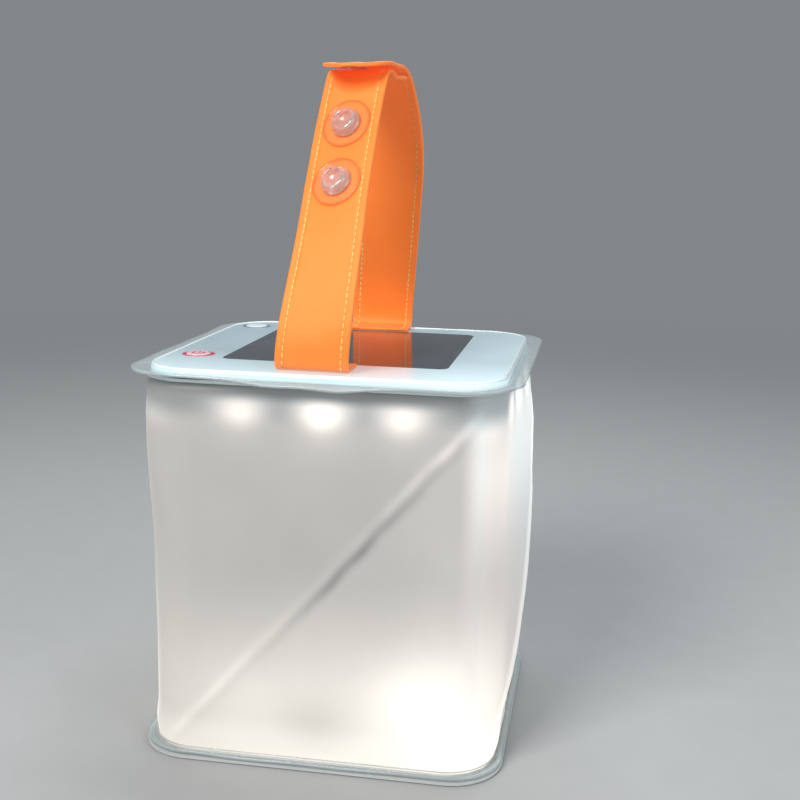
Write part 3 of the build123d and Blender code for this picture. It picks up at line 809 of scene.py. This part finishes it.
def path_points(knots, step=1.2 * MM):
    """Evenly spaced points on the smooth NURBS line that (x, y, z) knots lead."""
    curve = bpy.data.curves.new("route", "CURVE")
    curve.dimensions = "3D"
    spline = curve.splines.new("NURBS")
    spline.points.add(len(knots) - 1)
    for point, place in zip(spline.points, knots):
        point.co = (*place, 1)
    spline.order_u = 3
    spline.use_endpoint_u = True
    spline.resolution_u = 24
    holder = bpy.data.objects.new("route", curve)
    mesh = bpy.data.meshes.new_from_object(holder)
    line = [v.co.copy() for v in mesh.vertices]
    bpy.data.objects.remove(holder)
    bpy.data.curves.remove(curve)
    bpy.data.meshes.remove(mesh)
    lengths = [0.0]
    for a, b in zip(line, line[1:]):
        lengths.append(lengths[-1] + (b - a).length)
    count = max(2, round(lengths[-1] / step))
    points, k = [], 0
    for i in range(count + 1):
        target = lengths[-1] * i / count
        while k < len(lengths) - 2 and lengths[k + 1] < target:
            k += 1
        span = lengths[k + 1] - lengths[k] or 1.0
        points.append(line[k].lerp(line[k + 1], (target - lengths[k]) / span))
    return points


def strap_frames(points, twist_at):
    """Width and outward directions at each point of a strap's line."""
    frames = []
    for i, p in enumerate(points):
        run = (points[min(len(points) - 1, i + 1)] - points[max(0, i - 1)]).normalized()
        turn = twist_at(p)
        wide = Vector((cos(turn), -sin(turn), 0))
        wide = (wide - run * wide.dot(run)).normalized()
        frames.append((p, run, wide, run.cross(wide).normalized()))
    return frames


def strip_length(frames):
    return sum((b[0] - a[0]).length for a, b in zip(frames, frames[1:]))


HEM_STEPS = (0.0, 0.2, 0.45, 0.68, 0.765, 0.79, 0.815, 0.84, 0.90, 0.945, 0.975, 1.0)
SEAM = 0.79             # the stitched groove, as a share of the half width


def hem_height(share):
    """Half thickness of the webbing at a share of its half width: groove at the seam, rounded edge."""
    raised = 0.16 * MM if share > SEAM + 0.02 else 0.0
    groove = 0.20 * MM if abs(share - SEAM) < 0.01 else 0.0
    edge = 0.30 * MM if share > 0.99 else 0.0
    return WEB_T / 2 + raised - groove - edge


def web_strip(name, frames, end_round=0.0):
    """Ribbon with stitched hems along the frames; end_round rounds its last corners."""
    shares = [-s for s in reversed(HEM_STEPS[1:])] + list(HEM_STEPS)
    profile = [(s, hem_height(abs(s))) for s in shares]
    ring = profile + [(s, -h) for s, h in reversed(profile)]
    count = len(ring)
    vertices, web, faces, slots = [], [], [], []
    distance, before = 0.0, frames[0][0]
    total = strip_length(frames)
    for p, run, wide, out in frames:
        distance += (p - before).length
        before = p
        half = STRAP_HALF
        left = total - distance
        if end_round and left < end_round:
            half -= end_round - sqrt(max(0.0, end_round ** 2 - (end_round - left) ** 2)) * 0.96
        sway = 0.2 * MM * noise.noise(Vector((distance * 40, 2.0, 7.0)))
        for s, h in ring:
            ripple = 0.14 * MM * noise.noise(Vector((s * 1.5, distance * 60, 1.0)))
            vertices.append(p + wide * (s * half + sway) + out * (h + ripple))
            web.append((s * half / MM, distance / MM, 0.0))
    rows = len(frames)
    for r in range(rows - 1):
        for k in range(count):
            m = (k + 1) % count
            faces.append((r * count + k, r * count + m, (r + 1) * count + m, (r + 1) * count + k))
            # Slot 1 is the rounded edge of each hem, painted lighter as a highlight.
            slots.append(1 if min(abs(ring[k][0]), abs(ring[m][0])) > 0.93 else 0)
    faces.append(tuple(range(count)))
    faces.append(tuple(range((rows - 1) * count, rows * count))[::-1])
    piece = new_piece(name, vertices, faces)
    # The cut ends take the painted highlight too.
    piece.data.polygons.foreach_set("material_index", slots + [1, 1])
    fix_normals(piece)
    store(piece, "web", web, "FLOAT_VECTOR")
    paint(piece, orange, hem_highlight_orange)
    return piece


def stitch_row(frames, pitch=2.7 * MM, length=2.2 * MM, inset=SEAM, start=3 * MM, stop=3 * MM):
    """Vertices and faces of short raised stitches along both hems, on both faces of a strap."""
    vertices, faces = [], []
    lengths = [0.0]
    for a, b in zip(frames, frames[1:]):
        lengths.append(lengths[-1] + (b[0] - a[0]).length)
    at, k = start, 0
    segments, radius = 6, 0.29 * MM
    while at < lengths[-1] - stop:
        while k < len(lengths) - 2 and lengths[k + 1] < at:
            k += 1
        p, run, wide, out = frames[k]
        centre = p + run * (at - lengths[k])
        for side in (-1, 1):
            for face in (-1, 1):
                middle = centre + wide * side * inset * STRAP_HALF + out * face * (WEB_T / 2 + 0.02 * MM)
                base = len(vertices)
                for share, thin in ((-0.5, 0.25), (-0.36, 0.85), (0.0, 1.0), (0.36, 0.85), (0.5, 0.25)):
                    for t in range(segments):
                        angle = 2 * pi * t / segments
                        sink = -0.1 * MM * (2 * share) ** 2
                        vertices.append(
                            middle
                            + run * share * length
                            + wide * radius * thin * cos(angle)
                            + out * face * (radius * thin * sin(angle) * 0.8 + sink)
                        )
                for row in range(4):
                    for t in range(segments):
                        u = (t + 1) % segments
                        a, b = base + row * segments, base + (row + 1) * segments
                        faces.append((a + t, a + u, b + u, b + t))
                faces.append(tuple(base + t for t in range(segments))[::-1])
                faces.append(tuple(base + 4 * segments + t for t in range(segments)))
        at += pitch
    return vertices, faces


def stitching(name, frames, **options):
    piece = new_piece(name, *stitch_row(frames, **options))
    fix_normals(piece)
    paint(piece, thread)
    return piece


TWIST = radians(20)     # how far each strap half turns about the vertical by its top


def knot(x, y, z):
    """A strap knot given in mm, with z above the plate."""
    return (x * MM, y * MM, TOP + z * MM)


FRONT_KNOTS = [
    knot(-3.3, -47, 0.75), knot(-3.3, -54, 0.75), knot(-3.3, -60.8, 0.7), knot(-3.1, -63.2, 3),
    knot(-2.6, -64.2, 10), knot(-1.8, -62.5, 20), knot(-1.3, -58.5, 29), knot(-0.9, -52.5, 39),
    knot(-0.5, -42, 57), knot(-0.4, -28.5, 78), knot(0.5, -16.2, 98), knot(1.5, -11.6, 108.5),
    knot(2.3, -9.2, 113.4), knot(3.4, -5.6, 113.2), knot(4.0, -3.6, 111.4), knot(5.0, 1, 111.3),
    knot(6.6, 6, 111.4),
]
REAR_KNOTS = [
    knot(-0.4, 55.5, 0.75), knot(-0.4, 60, 0.75), knot(-0.3, 65.4, 0.7), knot(-0.2, 67.4, 3),
    knot(0.1, 66.6, 10), knot(1.2, 62.5, 22), knot(3.6, 54, 38), knot(6.4, 43, 58),
    knot(9.6, 33, 78), knot(10.0, 24.5, 95), knot(8.2, 16.5, 108.5), knot(6.6, 12, 114.2),
    knot(5.4, 7.0, 115.9), knot(3.9, -1, 115.9), knot(2.6, -12, 116.2), knot(1.2, -24, 114.6),
]
front_line = path_points(FRONT_KNOTS)
rear_line = path_points(REAR_KNOTS)


def front_twist(p):
    return TWIST * smoothstep(TOP - 10 * MM, TOP + 70 * MM, p.z)


def rear_twist(p):
    return TWIST * smoothstep(TOP + 40 * MM, TOP + 110 * MM, p.z)


front_frames = strap_frames(front_line, front_twist)
rear_frames = strap_frames(rear_line, rear_twist)
TONGUE_ROOT_Y = tongue_axis.y + 6.5 * MM   # clear of the bend right across the twisted webbing
split_at = next(i for i, f in enumerate(rear_frames) if f[0].z > TOP + 100 * MM and f[0].y < TONGUE_ROOT_Y)

front_web = web_strip("front_strap", front_frames)
front_thread = stitching("front_strap_stitching", front_frames)
for piece in (front_web, front_thread):
    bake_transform(piece)
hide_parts("front_webbing", "front_strap_foot")

rear_web = web_strip("rear_strap", rear_frames[: split_at + 1])
rear_thread = stitching("rear_strap_stitching", rear_frames[: split_at + 1])
for piece in (rear_web, rear_thread):
    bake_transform(piece)
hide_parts("rear_webbing", "rear_strap_foot")

tongue_web = web_strip("closing_tongue", rear_frames[split_at:], end_round=11 * MM)
tongue_thread = stitching("closing_tongue_stitching", rear_frames[split_at:], stop=9 * MM)
bend_run = rear_frames[split_at + 5][1].normalized()
bend_run.z = 0.0
for piece in (tongue_web, tongue_thread):
    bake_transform(piece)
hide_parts("tongue_webbing")


# ------------------------------------------------------------------ snaps
def millimetres(*points):
    return [(radius * MM, height * MM) for radius, height in points]


DISC = millimetres(
    (0, 0), (10.2, 0), (10.5, 0.2), (10.5, 0.7), (10.3, 0.95), (9.9, 1.0), (9.5, 0.8), (6.4, 0.75), (0, 0.75)
)
DOME = millimetres(
    (0, 0.78), (6.3, 0.78), (6.0, 1.0), (5.75, 1.5), (5.5, 2.6), (5.25, 3.5), (4.8, 4.0), (4.2, 4.2),
    (3.6, 4.0), (3.2, 3.4), (3.0, 2.4), (2.2, 1.9), (0, 1.8),
)
BACK = millimetres((0, 0), (5.8, 0), (6, 0.3), (5.6, 0.8), (2.2, 1.0), (0, 0.7))


def place_on_strap(piece, frames, height, face, lift_off):
    """Move a lathe solid onto a strap's face at a height above the plate."""
    p, run, wide, out = min(frames[len(frames) // 3:], key=lambda f: abs(f[0].z - TOP - height))
    normal = out * face
    matrix = Matrix.Identity(4)
    for column, axis in enumerate((wide, normal.cross(wide), normal)):
        for row in range(3):
            matrix[row][column] = axis[row]
    matrix.translation = p + normal * (WEB_T / 2 + lift_off)
    piece.data.transform(matrix)
    return piece


outward = -1 if front_frames[len(front_frames) // 2][3].y > 0 else 1
SNAP_HEIGHTS = (69.5, 92.5)     # above the plate, in mm
RIM_RADIUS = 9.4 * MM           # the disc's faces beyond this are its rim, which takes the painted shade
SNAP_PARTS = (
    ("disc", DISC, 1, disc_plastic, "snap_domes"),
    ("dome", DOME, 1, snap_plastic, "snap_domes"),
    ("back", BACK, -1, snap_plastic, "snap_backs"),
)
for index, height in enumerate(SNAP_HEIGHTS):
    for label, profile, face, material, node_name in SNAP_PARTS:
        snap = lathe(f"snap_{label}_{index + 1}", profile)
        rim = [1 if hypot(*f.center[:2]) > RIM_RADIUS else 0 for f in snap.data.polygons]
        place_on_strap(snap, front_frames, height * MM, face * outward, 0.08 * MM)
        paint(snap, material, disc_rim_shade)
        snap.data.polygons.foreach_set("material_index", rim)
        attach(snap, "strap_front")
        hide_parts(node_name)
for node_name in ("closure_stud", "tongue_socket", "tongue_cap"):
    paint(nodes[node_name], snap_plastic)

# ------------------------------------------------------------------ stage, lights and camera
HORIZON = (0.225, 0.24, 0.25)
FLOOR_SPAN = 6.0


def floor_paint():
    """Pale matte floor that fades into the backdrop's tone with distance from the lantern."""
    made = Paint("floor_pale", roughness=0.8)
    length = made.node("ShaderNodeVectorMath")
    length.operation = "LENGTH"
    made.link(made.place(), length.inputs[0])
    far = made.node("ShaderNodeMapRange")
    far.interpolation_type = "SMOOTHSTEP"
    far.inputs["From Min"].default_value = 0.20
    far.inputs["From Max"].default_value = 1.5
    made.link(length.outputs["Value"], far.inputs["Value"])
    grain = made.noise(60, 3)
    near = made.ramp(grain, (0.3, (0.400, 0.408, 0.412)), (0.7, (0.412, 0.420, 0.424)))
    made.colour(made.mix(far.outputs["Result"], near, (0.0, 0.0, 0.0)))
    made.set(emission_color=(*HORIZON, 1), specular_ior_level=0.0)
    made.link(far.outputs["Result"], made.shader.inputs["Emission Strength"])
    return made


corners = [(x * FLOOR_SPAN, y * FLOOR_SPAN, 0) for x, y in ((-1, -1), (1, -1), (1, 1), (-1, 1))]
floor = new_piece("floor", corners, [(0, 1, 2, 3)], smooth=False)
floor.location.z = -0.5 * MM      # just under the lantern, so that the two faces don't fight
paint(floor, floor_paint())

world = bpy.data.worlds.new("studio")
world.use_nodes = True
world.node_tree.nodes["Background"].inputs["Color"].default_value = (*HORIZON, 1)
world.node_tree.nodes["Background"].inputs["Strength"].default_value = 1.0
bpy.context.scene.world = world


def soft_light(name, place, aim, size, power, colour=(1, 1, 1)):
    light = bpy.data.lights.new(name, "AREA")
    light.shape = "SQUARE"
    light.size = size
    light.energy = power
    light.color = colour
    holder = bpy.data.objects.new(name, light)
    holder.location = place
    holder.rotation_euler = (Vector(aim) - Vector(place)).to_track_quat("-Z", "Y").to_euler()
    bpy.context.scene.collection.objects.link(holder)


soft_light("key", (-0.45, -0.95, 0.95), (0, 0, 0.18), 0.55, 15, (1, 0.97, 0.93))
soft_light("fill", (0.9, -0.5, 0.5), (0, 0, 0.14), 0.7, 4, (0.93, 0.97, 1))
soft_light("top", (0.05, 0.35, 1.1), (0, 0, 0.15), 0.6, 6.5, (0.92, 0.97, 1))

camera_data = bpy.data.cameras.new("camera")
camera_data.sensor_width = 36
camera_data.lens = 54.6
camera = bpy.data.objects.new("camera", camera_data)
bpy.context.scene.collection.objects.link(camera)
yaw, pitch, roll = radians(-9.5), radians(-11.35), radians(1.25)
look = Vector((sin(yaw) * cos(pitch), cos(yaw) * cos(pitch), sin(pitch)))
level_right = Vector((cos(yaw), -sin(yaw), 0))
level_up = level_right.cross(look)
right = level_right * cos(roll) + level_up * sin(roll)
up = right.cross(look)
pose = Matrix((right, up, -look)).transposed().to_4x4()
pose.translation = Vector((0.104, -0.500, TOP + 0.0803))
camera.matrix_world = pose
bpy.context.scene.camera = camera
bpy.context.scene.view_settings.view_transform = "Standard"
